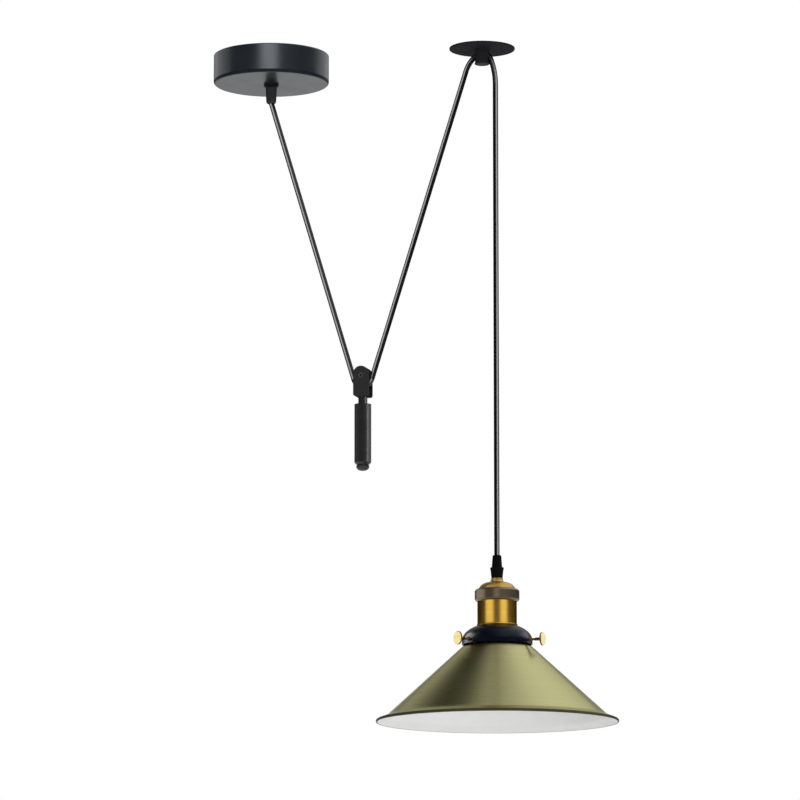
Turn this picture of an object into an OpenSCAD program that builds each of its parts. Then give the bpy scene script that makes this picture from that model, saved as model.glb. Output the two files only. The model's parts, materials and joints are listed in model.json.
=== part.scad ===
// Rise and fall pendant: ceiling rose, flex over a guide plate and under a counterweight, cone shade lamp.
// Millimetres. Origin at the centre of the rose on the ceiling, +Z up, +X towards the guide plate.
// The front, the side that is looked at, is -Y.

/* [Rose] */
// Outer diameter of the rose cover
rose_d = 108; // [100:1:140]
// Height of the rose cover
rose_h = 27.5; // [25:0.5:40]
// Sheet thickness of the rose cover
rose_wall = 1.6; // [0.8:0.1:3]
// Rounding of the rose cover's lower edge
rose_round = 2.4; // [1.7:0.1:5]
// Distance between the two ceiling screw slots
strap_pitch = 68; // [60:1:72]
// Length of each ceiling screw slot
strap_slot = 11; // [6:0.5:14]
// Width of each ceiling screw slot
strap_slot_w = 4.5; // [3.5:0.5:5.5]

/* [Guide plate] */
// Distance from the rose's centre to the guide plate's centre
guide_x = 199.6; // [150:0.2:260]
// Diameter of the guide plate
plate_d = 61; // [40:1:90]
// Thickness of the guide plate
plate_t = 1.5; // [1:0.1:4]
// Diameter of the guide post
post_d = 14; // [13:0.5:20]
// Thickness of the guide post's foot under its roller
post_foot = 1.2; // [0.8:0.1:4]
// Radius of the flex centreline on the guide roller
roller_pitch = 5.2; // [4.5:0.1:7]

/* [Flex] */
// Outer diameter of the flex
flex_d = 5; // [4.4:0.1:5.6]
// Height of the flex centreline over the guide roller
flex_top = -5; // [-8:0.1:-3]
// Tight bend radius over the guide roller
guide_bend = 8.7; // [7:0.1:14]

/* [Counterweight] */
// Distance from the rose's centre to the counterweight's axis
weight_x = 87.4; // [60:0.2:140]
// Height of the grooved wheel's centre
wheel_z = -307.1; // [-400:0.1:-200]
// Radius of the flex centreline on the grooved wheel
wheel_pitch = 9; // [7:0.1:14]
// Turn of the counterweight about its own axis, in degrees
weight_turn = 6; // [0:1:12]
// Width of the fork's cheeks
fork_w = 14.5; // [12:0.5:20]
// Thickness of the whole fork
fork_t = 16; // [13:0.5:22]
// Diameter of the weight
weight_d = 15.6; // [12:0.2:30]
// Length of the weight
weight_l = 56.5; // [30:0.5:90]

/* [Lamp] */
// Top of the lamp's cord grip
lamp_top = -476.4; // [-900:0.1:-300]
// Outer diameter of the lampholder's collar
collar_d = 41; // [39.5:0.5:48]
// Outer diameter of the lampholder's shell
shell_d = 36.1; // [34.8:0.1:37.6]
// Outer diameter of the gallery's skirt
gallery_d = 64.6; // [62:0.2:72]
// Height of the gallery
gallery_h = 17.4; // [15.6:0.2:24]
// Diameter of the shade's neck
neck_d = 57; // [50:0.5:59]
// Diameter of the shade at its rim
shade_d = 221.6; // [160:0.4:320]
// Width of the flared lip outside the shade's crease
lip_w = 9.7; // [4:0.1:16]
// Sheet thickness of the shade
shade_wall = 1.1; // [0.6:0.1:2]
// Length of each thumbscrew between the gallery and its head
thumb_reach = 12.7; // [8:0.1:20]

/* [Hidden] */
$fa = 4;
$fs = 0.4;
flex_r = flex_d / 2;
strand_gap = 0.3;
slack = 0.05;

// Rose
rose_r = rose_d / 2;
bridge_z = -(rose_h - rose_wall) + 0.3;
strap_t = 2;
strap_w = 18;
leg_x = (strap_pitch - strap_slot) / 2 - 8.5;
foot_x = (strap_pitch + strap_slot) / 2 + 6.5;
grip_bore = flex_r + 0.4;
spigot_r = grip_bore + 1.2;
stem_r = spigot_r + 0.85;
stem_top = -rose_h + 10;
grip_flange_z = -rose_h - 2.6;
grip_nut_z = grip_flange_z - 0.2;
spigot_low = -rose_h - 12.9;
bend_z = -rose_h - 16;
bend_r = 10;
grip_tip_z = bend_z - 2.5;
block_y = strap_w / 2 + 8;
block_z = -rose_h + rose_wall;

// Upper end of the flex inside the rose, bent over towards the terminal block
tail_r = 7.6;
tail_turn = 62;
tail_z = -rose_h + 8.5;
tail_end = [0, tail_r * (1 - cos(tail_turn)), tail_z + tail_r * sin(tail_turn)];

// Flex route from the rose to the wheel
reach_a = [weight_x, bend_z - 3 - wheel_z];
lean_a = atan2(reach_a[0], reach_a[1]) - asin(wheel_pitch / norm(reach_a));
start_a = [bend_r * (1 - cos(lean_a)), 0, bend_z - bend_r * sin(lean_a)];

// Flex route over the guide roller: tight in the middle, easier on both sides
left_tight = 40;
left_ease_r = 30.5;
left_total = 73;
left_mid = [-guide_bend * sin(left_tight), flex_top - guide_bend * (1 - cos(left_tight))];
left_centre = left_mid + left_ease_r * [sin(left_tight), -cos(left_tight)];
left_end = left_centre + left_ease_r * [-sin(left_total), cos(left_total)];
right_tight = 70.3;
right_ease_r = 72;
right_mid = [guide_bend * sin(right_tight), flex_top - guide_bend * (1 - cos(right_tight))];
right_centre = right_mid - right_ease_r * [sin(right_tight), cos(right_tight)];
right_end = right_centre + [right_ease_r, 0];
start_c = [guide_x + left_end[0], 0, left_end[1]];
start_d = [guide_x + right_end[0], 0, right_end[1]];
lamp_x = start_d[0];

// Flex route from the wheel to the guide
reach_c = [start_c[0] - weight_x, start_c[2] - wheel_z];
lean_c = atan2(reach_c[0], reach_c[1]) - asin(wheel_pitch / norm(reach_c));
end_a = on_wheel(-wheel_pitch * cos(lean_a), wheel_z - wheel_pitch * sin(lean_a));
end_c = on_wheel(wheel_pitch * cos(lean_c), wheel_z - wheel_pitch * sin(lean_c));

// Counterweight
groove_r = flex_r + 0.1;
wheel_rim = wheel_pitch - 0.4;
fork_gap = flex_d + 2;
wheel_w = fork_gap - 0.6;
axle_r = 2;
fork_top = wheel_z + wheel_pitch - 0.2;
fork_floor = wheel_z - wheel_pitch - flex_r - 0.7;
fork_low = fork_floor - 7.1;
weight_top = fork_low - 6.9;
weight_low = weight_top - weight_l;
stem_thread_r = 2.5;

// Guide roller
roller_z = flex_top - roller_pitch;
roller_rim = roller_pitch - 1.3;
post_gap = flex_d + 1;
roller_w = post_gap - 0.6;
post_floor = roller_rim - roller_z + 0.3;
post_low = post_floor + post_foot;
post_screw_y = (post_gap + post_d) / 4;
guide_pin_r = 1;

// Lamp
lamp_flange = lamp_top - 11.4;
lamp_body_low = lamp_flange - 10;
neck_z = lamp_body_low;
dome_z = neck_z - 3.8;
collar_z = dome_z - 6.2;
collar_h = 11.4;
collar_r = collar_d / 2;
shell_r = shell_d / 2;
shell_wall = 0.8;
shell_h = 27.6;
shell_top = collar_z - 6;
shell_low = shell_top - shell_h;
insert_top = shell_top - 0.1;
insert_low = shell_low - 6;
contact_depth = 9;
sleeve_r = 14.6;
screw_r = 13.2;
gallery_top = shell_low;
gallery_low = gallery_top - gallery_h;
gallery_r = gallery_d / 2;
gallery_wall = 1;
skirt_h = 4.2;
neck_r = neck_d / 2;
neck_h = 9.5;
shoulder_r = gallery_r - 0.6;
shoulder_z = gallery_low - 1.7;
shade_top = shoulder_z + neck_h;
rim_r = shade_d / 2;
crease_r = rim_r - lip_w;
crease_z = shoulder_z - (crease_r - shoulder_r) / 1.094;
rim_z = crease_z - 4.3;
screw_z = gallery_low + 3.5;
boss_r = 1.9;
thumb_r = 1.2;
thumb_tip = neck_r + 0.3;
head_r = gallery_r + thumb_reach;
thumb_turns = [225, 345, 105];
lamp_bore = flex_r + 0.35;
lamp_spigot_r = lamp_bore + 0.65;
nipple_r = flex_r + 1.5;

function on_wheel(u, z) = [weight_x + u * cos(weight_turn), -u * sin(weight_turn), z];
function bezier(a, b, c, steps) = [for (i = [0:steps])
  let (t = i / steps) (1 - t) * (1 - t) * a + 2 * t * (1 - t) * b + t * t * c];

// Shared shapes

module ring(outer, inner, low, high) {
  translate([0, 0, low])
    difference() {
      cylinder(h = high - low, r = outer);
      translate([0, 0, -1]) cylinder(h = high - low + 2, r = inner);
    }
}

module hex_ring(flats, inner, low, high) {
  translate([0, 0, low])
    difference() {
      cylinder(h = high - low, r = flats / 2 / cos(30), $fn = 6);
      translate([0, 0, -1]) cylinder(h = high - low + 2, r = inner);
    }
}

module rod(a, b, r) {
  d = b - a;
  translate(a)
    rotate([0, acos(d[2] / norm(d)), atan2(d[1], d[0])])
      cylinder(h = norm(d), r = r);
}

// A length of flex bent in the XZ plane about a centre, from one angle through a sweep
module bent(centre, radius, from, sweep, r) {
  translate([centre[0], 0, centre[1]])
    rotate([90, 0, 0])
      rotate([0, 0, from])
        rotate_extrude(angle = sweep) translate([radius, 0]) circle(r = r);
}

// Points of an arc in the XZ plane, the first one left out
function arc(centre, radius, from, sweep, steps) = [for (i = [1:steps])
  let (a = from + sweep * i / steps) [centre[0] + radius * cos(a), 0, centre[1] + radius * sin(a)]];

// A tube along a list of points; side is a direction that the route never follows
module tube(route, r, sides, side) {
  n = len(route);
  ahead = [for (i = [0:n - 1])
    let (d = route[min(i + 1, n - 1)] - route[max(i - 1, 0)]) d / norm(d)];
  across = [for (d = ahead) let (s = cross(d, side)) s / norm(s)];
  points = [for (i = [0:n - 1]) for (k = [0:sides - 1])
    route[i] + r * (cos(360 * k / sides) * across[i]
      + sin(360 * k / sides) * cross(ahead[i], across[i]))];
  walls = [for (i = [0:n - 2]) for (k = [0:sides - 1]) for (half = [0, 1])
    let (m = (k + 1) % sides, a = i * sides, b = a + sides)
      half == 0 ? [a + k, b + m, a + m] : [a + k, b + k, b + m]];
  ends = [[for (k = [0:sides - 1]) k], [for (k = [sides - 1:-1:0]) (n - 1) * sides + k]];
  polyhedron(points = points, faces = concat(walls, ends), convexity = 8);
}

// Outline of a cup that hangs mouth up: rounded lower edge, small rounding at the mouth
module cup_outline(r, h, low_round, top_round) {
  translate([0, -h + low_round]) square([r, h - low_round - top_round]);
  translate([0, -h]) square([r - low_round, h]);
  translate([0, -top_round]) square([r - top_round, top_round]);
  translate([r - low_round, -h + low_round]) circle(r = low_round);
  translate([r - top_round, -top_round]) circle(r = top_round);
}

// Rose

module rose_cover() {
  color([0.16, 0.18, 0.19])
    rotate_extrude()
      difference() {
        intersection() {
          cup_outline(rose_r, rose_h, rose_round, 1);
          translate([0, -rose_h]) square([rose_r, rose_h]);
        }
        translate([0, 1])
          cup_outline(rose_r - rose_wall, rose_h - rose_wall + 1,
            max(rose_round - rose_wall, 0.3), 0.4);
        translate([0, -rose_h - 1]) square([stem_r + 0.15, rose_wall + 2]);
      }
}

module rose_strap() {
  z = bridge_z;
  t = strap_t;
  color([0.62, 0.63, 0.64])
    difference() {
      translate([0, strap_w / 2, 0])
        rotate([90, 0, 0])
          linear_extrude(strap_w)
            polygon([[-foot_x, 0], [-leg_x, 0], [-leg_x, z + t], [leg_x, z + t],
              [leg_x, 0], [foot_x, 0], [foot_x, -t], [leg_x + t, -t], [leg_x + t, z],
              [-leg_x - t, z], [-leg_x - t, -t], [-foot_x, -t]]);
      for (side = [-1, 1])
        translate([side * strap_pitch / 2, 0, -t - 1]) {
          for (end = [-1, 1])
            translate([end * (strap_slot - strap_slot_w) / 2, 0, 0])
              cylinder(h = t + 2, r = strap_slot_w / 2);
          translate([-(strap_slot - strap_slot_w) / 2, -strap_slot_w / 2, 0])
            cube([strap_slot - strap_slot_w, strap_slot_w, t + 2]);
        }
      translate([0, 0, z - 1]) cylinder(h = t + 2, r = stem_r + slack);
      translate([-leg_x - t - 2.8, 6.2, -t - 1]) cylinder(h = t + 2, r = 1.5);
    }
}

module rose_grip_body() {
  color([0.07, 0.07, 0.08])
    rotate_extrude()
      difference() {
        union() {
          translate([0, -rose_h]) square([stem_r, stem_top + rose_h]);
          translate([0, grip_flange_z]) square([stem_r + 1.65, -rose_h - grip_flange_z]);
          translate([0, grip_flange_z + 0.4])
            square([stem_r + 2.05, -rose_h - grip_flange_z - 0.8]);
          translate([0, spigot_low]) square([spigot_r, 14]);
        }
        translate([0, spigot_low - 1]) square([grip_bore, stem_top - spigot_low + 2]);
      }
}

module rose_grip_locknut() {
  color([0.6, 0.6, 0.6])
    hex_ring(14, stem_r + slack, bridge_z + strap_t, bridge_z + strap_t + 4);
}

module rose_grip_sleeve() {
  color([0.1, 0.1, 0.1])
    ring(spigot_r - 0.2, flex_r + slack, spigot_low - 1.8, spigot_low - 0.1);
}

module rose_grip_nut() {
  top = grip_nut_z;
  tip = grip_tip_z;
  color([0.06, 0.06, 0.07])
    rotate_extrude()
      difference() {
        polygon([[0, top], [spigot_r + 1, top], [spigot_r + 1.25, top - 0.3],
          [spigot_r + 0.65, tip + 3], [spigot_r + 0.45, tip + 1.6], [spigot_r, tip + 0.6],
          [spigot_r - 0.5, tip], [0, tip]]);
        translate([0, spigot_low - 1.9]) square([spigot_r + slack, 13]);
        translate([0, tip - 1]) square([flex_r + slack, 5]);
        polygon([[0, tip + 2.6], [flex_r + slack, tip + 2.6], [flex_r + 0.85, tip - 1],
          [0, tip - 1]]);
      }
}

module rose_terminal_block() {
  color([0.86, 0.85, 0.8])
    difference() {
      union() {
        for (k = [-1, 0, 1])
          translate([k * 8 - 3.6, block_y, block_z]) cube([7.2, 12, 11]);
        translate([-9, block_y + 2.5, block_z]) cube([18, 7, 8]);
      }
      for (k = [-1, 0, 1]) {
        translate([k * 8, block_y - 1, block_z + 6])
          rotate([-90, 0, 0]) cylinder(h = 14, r = 1.6);
        translate([k * 8, block_y + 3, block_z + 6]) cylinder(h = 6, r = 1.65);
      }
    }
}

module rose_terminal_screws() {
  color([0.75, 0.62, 0.3])
    for (k = [-1, 0, 1])
      translate([k * 8, block_y + 3, block_z + 7.7])
        difference() {
          cylinder(h = 2.4, r = 1.6);
          translate([-2, -0.25, 1.7]) cube([4, 0.5, 1]);
        }
}

module rose_earth_screw() {
  color([0.75, 0.62, 0.3])
    translate([-leg_x - strap_t - 2.8, 6.2, 0])
      difference() {
        union() {
          translate([0, 0, -5.6]) cylinder(h = 5.2, r = 1.45);
          translate([0, 0, -4]) cylinder(h = 2, r = 2.6);
        }
        translate([-3, -0.3, -5.8]) cube([6, 0.6, 0.8]);
      }
}

core_r = 1.1;

// Where a core ends inside its terminal
function terminal(k) = [k * 8, block_y + 1.6, block_z + 6];

module rose_core(k) {
  t = terminal(k);
  leaving = [for (p = [[1.25, 0.64, -0.34], [1.5, 1.97, 0.39], [2.6, 4.77, 1.29],
    [4.4, 7.17, 0.69], [6.2, 8.77, -1.31]]) tail_end + [k * p[0], p[1], p[2]]];
  tube(concat(leaving, [t + [-0.5 * k, -5.2, 3.6], t + [0, -4.2, 1.3], t + [0, -2.6, 0], t]),
    core_r, 8, [1, 0, 0]);
}

module rose_core_live() {
  color([0.35, 0.2, 0.1]) rose_core(-1);
}

module rose_core_neutral() {
  color([0.1, 0.25, 0.6]) rose_core(1);
}

module rose_core_earth() {
  t = terminal(0);
  leaving = [for (p = [[-0.58, 1.22], [1.17, 2.19], [3.57, 3.89], [5.97, 4.59], [8.17, 3.49]])
    tail_end + [0, p[0], p[1]]];
  color([0.35, 0.55, 0.15])
    tube(concat(leaving, [t + [0, -5, 8.5], t + [0, -4.5, 5.3], t + [0, -4.2, 2.7],
      t + [0, -3.4, 0.7], t + [0, -2.2, 0], t]), core_r, 8, [1, 0, 0]);
}

// Flex

module flex_rose_end() {
  upper = [for (p = arc([tail_r, tail_z], tail_r, 180 - tail_turn, tail_turn, 8))
    [0, p[0], p[2]]];
  color([0.08, 0.08, 0.08])
    tube(concat([tail_end], upper,
      [[0, 0, -rose_h + 1.5], [0, 0, -rose_h - 7.5], [0, 0, bend_z]],
      arc([bend_r, bend_z], bend_r, 180, lean_a, 5)), flex_r, 20, [1, 0, 0]);
}

// Where a strand stops, just short of the flex that moves with the counterweight
function short_of(from, to) = to - strand_gap * (to - from) / norm(to - from);

module flex_rose_strand() {
  color([0.08, 0.08, 0.08]) rod(start_a, short_of(start_a, end_a), flex_r);
}

module flex_under_wheel() {
  color([0.08, 0.08, 0.08])
    in_weight()
      bent([0, wheel_z], wheel_pitch, 180 + lean_a, 180 - lean_a - lean_c, flex_r);
}

module flex_guide_strand() {
  color([0.08, 0.08, 0.08]) rod(start_c, short_of(start_c, end_c), flex_r);
}

module flex_over_guide() {
  color([0.08, 0.08, 0.08])
    translate([guide_x, 0, 0])
      tube(concat([[right_end[0], 0, right_end[1]]],
        arc(right_centre, right_ease_r, 0, 90 - right_tight, 8),
        arc([0, flex_top - guide_bend], guide_bend, 90 - right_tight,
          left_tight + right_tight, 22),
        arc(left_centre, left_ease_r, 90 + left_tight, left_total - left_tight, 9)),
        flex_r, 20, [0, 1, 0]);
}

module flex_drop() {
  color([0.08, 0.08, 0.08])
    rod([lamp_x, 0, lamp_top - 1.5], start_d, flex_r);
}

module flex_lamp_end() {
  color([0.08, 0.08, 0.08])
    in_lamp()
      translate([0, 0, dome_z - 4.4]) cylinder(h = lamp_top - 1.5 - dome_z + 4.4, r = flex_r);
}

// Guide plate

module in_guide() {
  translate([guide_x, 0, 0]) children();
}

module guide_plate() {
  color([0.1, 0.1, 0.11])
    in_guide()
      difference() {
        union() {
          translate([0, 0, -plate_t + 0.3]) cylinder(h = plate_t - 0.3, r = plate_d / 2);
          translate([0, 0, -plate_t]) cylinder(h = 0.4, r1 = plate_d / 2 - 0.3, r2 = plate_d / 2);
        }
        translate([0, 0, -plate_t - 1]) cylinder(h = plate_t + 2, r = 2);
        for (side = [-1, 1])
          translate([0, side * post_screw_y, 0]) {
            translate([0, 0, -plate_t - 1]) cylinder(h = plate_t + 2, r = 1.3);
            translate([0, 0, -plate_t + 0.2])
              cylinder(h = plate_t - 0.1, r1 = 1.2, r2 = 2.6);
          }
      }
}

module guide_post() {
  color([0.09, 0.09, 0.1])
    in_guide()
      difference() {
        union() {
          translate([0, 0, -post_low + 0.5])
            cylinder(h = post_low - 0.5 - plate_t, r = post_d / 2);
          translate([0, 0, -post_low])
            cylinder(h = 0.5, r1 = post_d / 2 - 0.5, r2 = post_d / 2);
        }
        translate([-post_d, -post_gap / 2, -post_floor])
          cube([2 * post_d, post_gap, post_floor]);
        translate([0, post_d, roller_z])
          rotate([90, 0, 0]) cylinder(h = 2 * post_d, r = guide_pin_r + 0.01);
        for (side = [-1, 1])
          translate([0, side * post_screw_y, -plate_t - 5.1]) cylinder(h = 6, r = 1.02);
      }
}

module guide_post_screws() {
  color([0.5, 0.5, 0.5])
    in_guide()
      for (side = [-1, 1])
        translate([0, side * post_screw_y, 0]) {
          translate([0, 0, -plate_t - 4.9]) cylinder(h = plate_t + 4.4, r = 1);
          translate([0, 0, -plate_t + 0.2])
            cylinder(h = plate_t - 0.3, r1 = 1.05, r2 = 2.25);
        }
}

module guide_pin() {
  color([0.55, 0.55, 0.56])
    in_guide()
      translate([0, post_d / 2 - 0.4, roller_z])
        rotate([90, 0, 0]) cylinder(h = post_d - 0.8, r = guide_pin_r);
}

// A grooved wheel about the Y axis, centred at the origin
module grooved(width, rim, pitch, bore) {
  rotate([90, 0, 0])
    rotate_extrude()
      difference() {
        translate([bore, -width / 2]) square([rim - bore, width]);
        translate([pitch, 0]) circle(r = groove_r);
      }
}

module guide_roller() {
  color([0.7, 0.7, 0.72])
    in_guide()
      translate([0, 0, roller_z])
        grooved(roller_w, roller_rim, roller_pitch, guide_pin_r + slack);
}

// Counterweight

module in_weight() {
  translate([weight_x, 0, 0]) rotate([0, 0, -weight_turn]) children();
}

module fork_outline() {
  corner = 2;
  half = fork_w / 2;
  translate([0, fork_top - half]) circle(r = half);
  translate([-half, fork_low + corner]) square([fork_w, fork_top - half - fork_low - corner]);
  translate([-half + corner, fork_low]) square([fork_w - 2 * corner, corner + 1]);
  for (side = [-1, 1])
    translate([side * (half - corner), fork_low + corner]) circle(r = corner);
}

module weight_fork() {
  color([0.13, 0.13, 0.13])
    in_weight()
      difference() {
        translate([0, fork_t / 2, 0])
          rotate([90, 0, 0]) linear_extrude(fork_t) fork_outline();
        translate([-fork_w, -fork_gap / 2, fork_floor])
          cube([2 * fork_w, fork_gap, 60]);
        translate([0, fork_t, wheel_z])
          rotate([90, 0, 0]) cylinder(h = 2 * fork_t, r = axle_r + 0.01);
        translate([0, -fork_t / 2 + 2.4, wheel_z])
          rotate([90, 0, 0]) cylinder(h = 6, r = 2.75);
        translate([0, 0, fork_low - 1]) cylinder(h = 8.2, r = stem_thread_r + 0.01);
      }
}

module weight_axle() {
  color([0.2, 0.2, 0.2])
    in_weight()
      translate([0, 0, wheel_z])
        rotate([90, 0, 0])
          difference() {
            union() {
              translate([0, 0, -fork_t / 2 + 0.3]) cylinder(h = fork_t - 2.7, r = axle_r);
              translate([0, 0, fork_t / 2 - 2.4]) cylinder(h = 2, r = 2.6);
            }
            translate([0, 0, fork_t / 2 - 1.9]) cylinder(h = 3, r = 1.25, $fn = 6);
          }
}

module weight_wheel() {
  color([0.3, 0.3, 0.31])
    in_weight()
      translate([0, 0, wheel_z])
        difference() {
          grooved(wheel_w, wheel_rim, wheel_pitch, axle_r + slack);
          for (side = [-1, 1])
            translate([0, side * (wheel_w / 2 - 0.4), 0])
              rotate([-90 * side, 0, 0])
                difference() {
                  cylinder(h = 2, r = 6.6);
                  translate([0, 0, -1]) cylinder(h = 4, r = 3.4);
                }
        }
}

module weight_stem() {
  color([0.15, 0.15, 0.15])
    in_weight() {
      translate([0, 0, weight_top]) cylinder(h = fork_low - weight_top, r = 4.25);
      translate([0, 0, weight_top - 12]) cylinder(h = 13, r = stem_thread_r);
      translate([0, 0, fork_low - 1]) cylinder(h = 7.8, r = stem_thread_r);
    }
}

module weight_cylinder() {
  r = weight_d / 2;
  color([0.14, 0.14, 0.14])
    in_weight()
      rotate_extrude()
        difference() {
          polygon([[0, weight_top], [r - 0.2, weight_top], [r, weight_top - 0.2],
            [r, weight_low + 2], [r - 1.9, weight_low], [0, weight_low]]);
          translate([-1, weight_top - 12.4]) square([stem_thread_r + 1.01, 20]);
          translate([-1, weight_low - 1]) square([stem_thread_r + 1.01, 14.4]);
        }
}

module weight_end_bolt() {
  z = weight_low;
  color([0.18, 0.18, 0.18])
    in_weight()
      difference() {
        union() {
          rotate_extrude()
            polygon([[0, z], [5.2, z], [5.2, z - 0.8], [6, z - 0.9], [6, z - 2.3],
              [5.6, z - 3.4], [4.9, z - 4.3], [3.9, z - 5], [2.7, z - 5.4], [0, z - 5.5]]);
          translate([0, 0, z - 1]) cylinder(h = 13.5, r = stem_thread_r);
        }
        translate([0, 0, z - 6]) cylinder(h = 2.9, r = 1.75, $fn = 6);
      }
}

// Lamp

module in_lamp() {
  translate([lamp_x, 0, 0]) children();
}

module lamp_grip_nut() {
  t = lamp_top;
  color([0.06, 0.06, 0.07])
    in_lamp()
      rotate_extrude()
        difference() {
          polygon([[0, t], [lamp_spigot_r - 0.2, t], [lamp_spigot_r + 0.35, t - 0.5],
            [lamp_spigot_r + 0.6, t - 1.3], [lamp_spigot_r + 0.7, t - 3],
            [lamp_spigot_r + 1.25, t - 10.4], [lamp_spigot_r + 1, t - 10.8], [0, t - 10.8]]);
          translate([0, t - 12]) square([lamp_spigot_r + slack, 8.2]);
          translate([0, t - 4]) square([flex_r + slack, 6]);
        }
}

module lamp_grip_sleeve() {
  color([0.1, 0.1, 0.1])
    in_lamp() ring(lamp_spigot_r - 0.1, flex_r + slack, lamp_top - 5.6, lamp_top - 4);
}

module lamp_grip_body() {
  z = lamp_flange;
  low = lamp_body_low;
  color([0.06, 0.06, 0.07])
    in_lamp()
      rotate_extrude()
        polygon([[lamp_bore, z + 5.6], [lamp_spigot_r, z + 5.6], [lamp_spigot_r, z + 0.4],
          [5.2, z + 0.4], [6.2, z - 0.3], [6.2, z - 1.9], [5.9, z - 2.3], [5.15, low + 0.3],
          [4.95, low], [nipple_r + 0.01, low], [nipple_r + 0.01, low + 6.6],
          [lamp_bore, low + 6.6]]);
}

module holder_nipple() {
  color([0.72, 0.58, 0.28])
    in_lamp() ring(nipple_r, flex_r + 0.4, dome_z - 5, lamp_body_low + 6.4);
}

module holder_nipple_nut() {
  color([0.72, 0.58, 0.28])
    in_lamp() hex_ring(12, nipple_r + 0.01, dome_z - 4.4, dome_z - 1.6);
}

module holder_cap() {
  top = neck_z - 0.05;
  hole = nipple_r + 0.1;
  skirt = shell_r - 0.9;
  outer = concat([[hole, top], [5.5, top], [5.75, top - 0.4], [5.35, top - 1.3],
    [5.9, top - 2.2], [6.4, top - 3]],
    bezier([8.6, dome_z], [skirt - 2.5, dome_z - 0.6], [skirt - 0.1, collar_z], 8));
  inner = concat([[skirt - 0.1, collar_z], [skirt - 0.95, collar_z - 0.2]],
    bezier([skirt - 1.15, collar_z - 0.4], [skirt - 3.3, dome_z - 1.7],
      [8.4, dome_z - 0.9], 6),
    [[6.5, dome_z - 1.5], [hole, dome_z - 1.5]]);
  color([0.6, 0.48, 0.2])
    in_lamp() {
      rotate_extrude() polygon(concat(outer, inner));
      ring(skirt, skirt - 0.95, shell_top + 0.8, collar_z);
      ring(shell_r - 0.05, skirt - 0.95, shell_top + 0.1, shell_top + 1.5);
    }
}

module holder_collar() {
  z = collar_z;
  low = z - collar_h;
  r = collar_r;
  color([0.38, 0.34, 0.3])
    in_lamp()
      rotate_extrude()
        difference() {
          polygon([[0, z], [r - 2, z], [r - 0.8, z - 0.7], [r, z - 1.9], [r, low + 2],
            [r - 0.8, low + 0.8], [r - 2.1, low], [0, low]]);
          translate([0, z - 2]) square([shell_r - 0.8, 3]);
          translate([0, low - 1]) square([shell_r + slack, collar_h - 0.8]);
        }
}

module holder_shell() {
  color([0.8, 0.62, 0.25])
    in_lamp()
      rotate_extrude() {
        translate([shell_r - shell_wall, shell_low]) square([shell_wall, shell_top - shell_low]);
        translate([shell_r - 0.1, shell_low + 0.75]) circle(r = 0.7);
      }
}

module holder_insert() {
  color([0.9, 0.89, 0.85])
    in_lamp()
      difference() {
        union() {
          ring(shell_r - shell_wall - 0.1, screw_r + 0.65, shell_low + 3, insert_top);
          ring(sleeve_r, screw_r + 0.65, insert_low, shell_low + 4);
          translate([0, 0, insert_top - 5]) cylinder(h = 5, r = screw_r + 1);
        }
        for (turn = [90, 210, 330])
          rotate([0, 0, turn])
            translate([9, 0, insert_top - 6]) cylinder(h = 7, r = 1.5);
      }
}

module holder_screw_shell() {
  color([0.8, 0.65, 0.3])
    in_lamp()
      ring(screw_r + 0.6, screw_r, insert_low + 1, insert_top - contact_depth - 0.2);
}

module holder_contact() {
  z = insert_top - 5;
  color([0.8, 0.65, 0.3])
    in_lamp() {
      translate([-2.6, -9, z - 0.6]) cube([5.2, 13, 0.6]);
      translate([-2.6, 3.4, z - 3.2]) cube([5.2, 0.6, 3]);
      translate([-2.6, -3, z - 3.2]) cube([5.2, 7, 0.5]);
      translate([0, 0, insert_top - contact_depth]) cylinder(h = 0.9, r = 2);
    }
}

module holder_terminals() {
  color([0.8, 0.65, 0.3])
    in_lamp()
      for (turn = [90, 210, 330])
        rotate([0, 0, turn])
          translate([9, 0, 0])
            difference() {
              union() {
                translate([0, 0, insert_top - 4.6]) cylinder(h = 5, r = 1.45);
                translate([0, 0, insert_top]) cylinder(h = 3, r = 2.3);
              }
              translate([-4, 0, insert_top + 1.5])
                rotate([0, 90, 0]) cylinder(h = 4.6, r = 0.9);
            }
}

module lamp_core(turn) {
  low = insert_top + 1.5;
  high = dome_z - 4.8;
  in_lamp()
    rotate([0, 0, turn])
      tube([[1.2, 0, high], [1.6, 0, high - 1.4], [2.6, 0, high - 2.8],
        [4, 0, (high + low) / 2 - 1], [5.2, 0, low + 0.6], [6.4, 0, low + 0.1],
        [9, 0, low]], 0.85, 8, [0, 1, 0]);
}

module lamp_core_live() {
  color([0.35, 0.2, 0.1]) lamp_core(210);
}

module lamp_core_neutral() {
  color([0.1, 0.25, 0.6]) lamp_core(330);
}

module lamp_core_earth() {
  color([0.35, 0.55, 0.15]) lamp_core(90);
}

module gallery() {
  t = gallery_top;
  low = gallery_low;
  r = gallery_r;
  w = gallery_wall;
  outer = concat([[sleeve_r + 0.1, t], [shell_r, t]],
    bezier([shell_r + 0.3, t - 0.1], [r - 1.1, t - 4.6], [r, low + skirt_h], 10), [[r, low]]);
  inner = concat([[r - w, low]],
    bezier([r - w, low + skirt_h - 0.1], [r - w - 1.2, t - 5.4], [shell_r, t - w - 0.4], 10),
    [[sleeve_r + 0.1, t - w - 0.2]]);
  color([0.05, 0.06, 0.1])
    in_lamp()
      difference() {
        rotate_extrude() polygon(concat(outer, inner));
        for (turn = thumb_turns)
          rotate([0, 0, turn])
            translate([r - 4, 0, screw_z])
              rotate([0, 90, 0]) cylinder(h = 8, r = boss_r + 0.02);
      }
}

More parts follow.
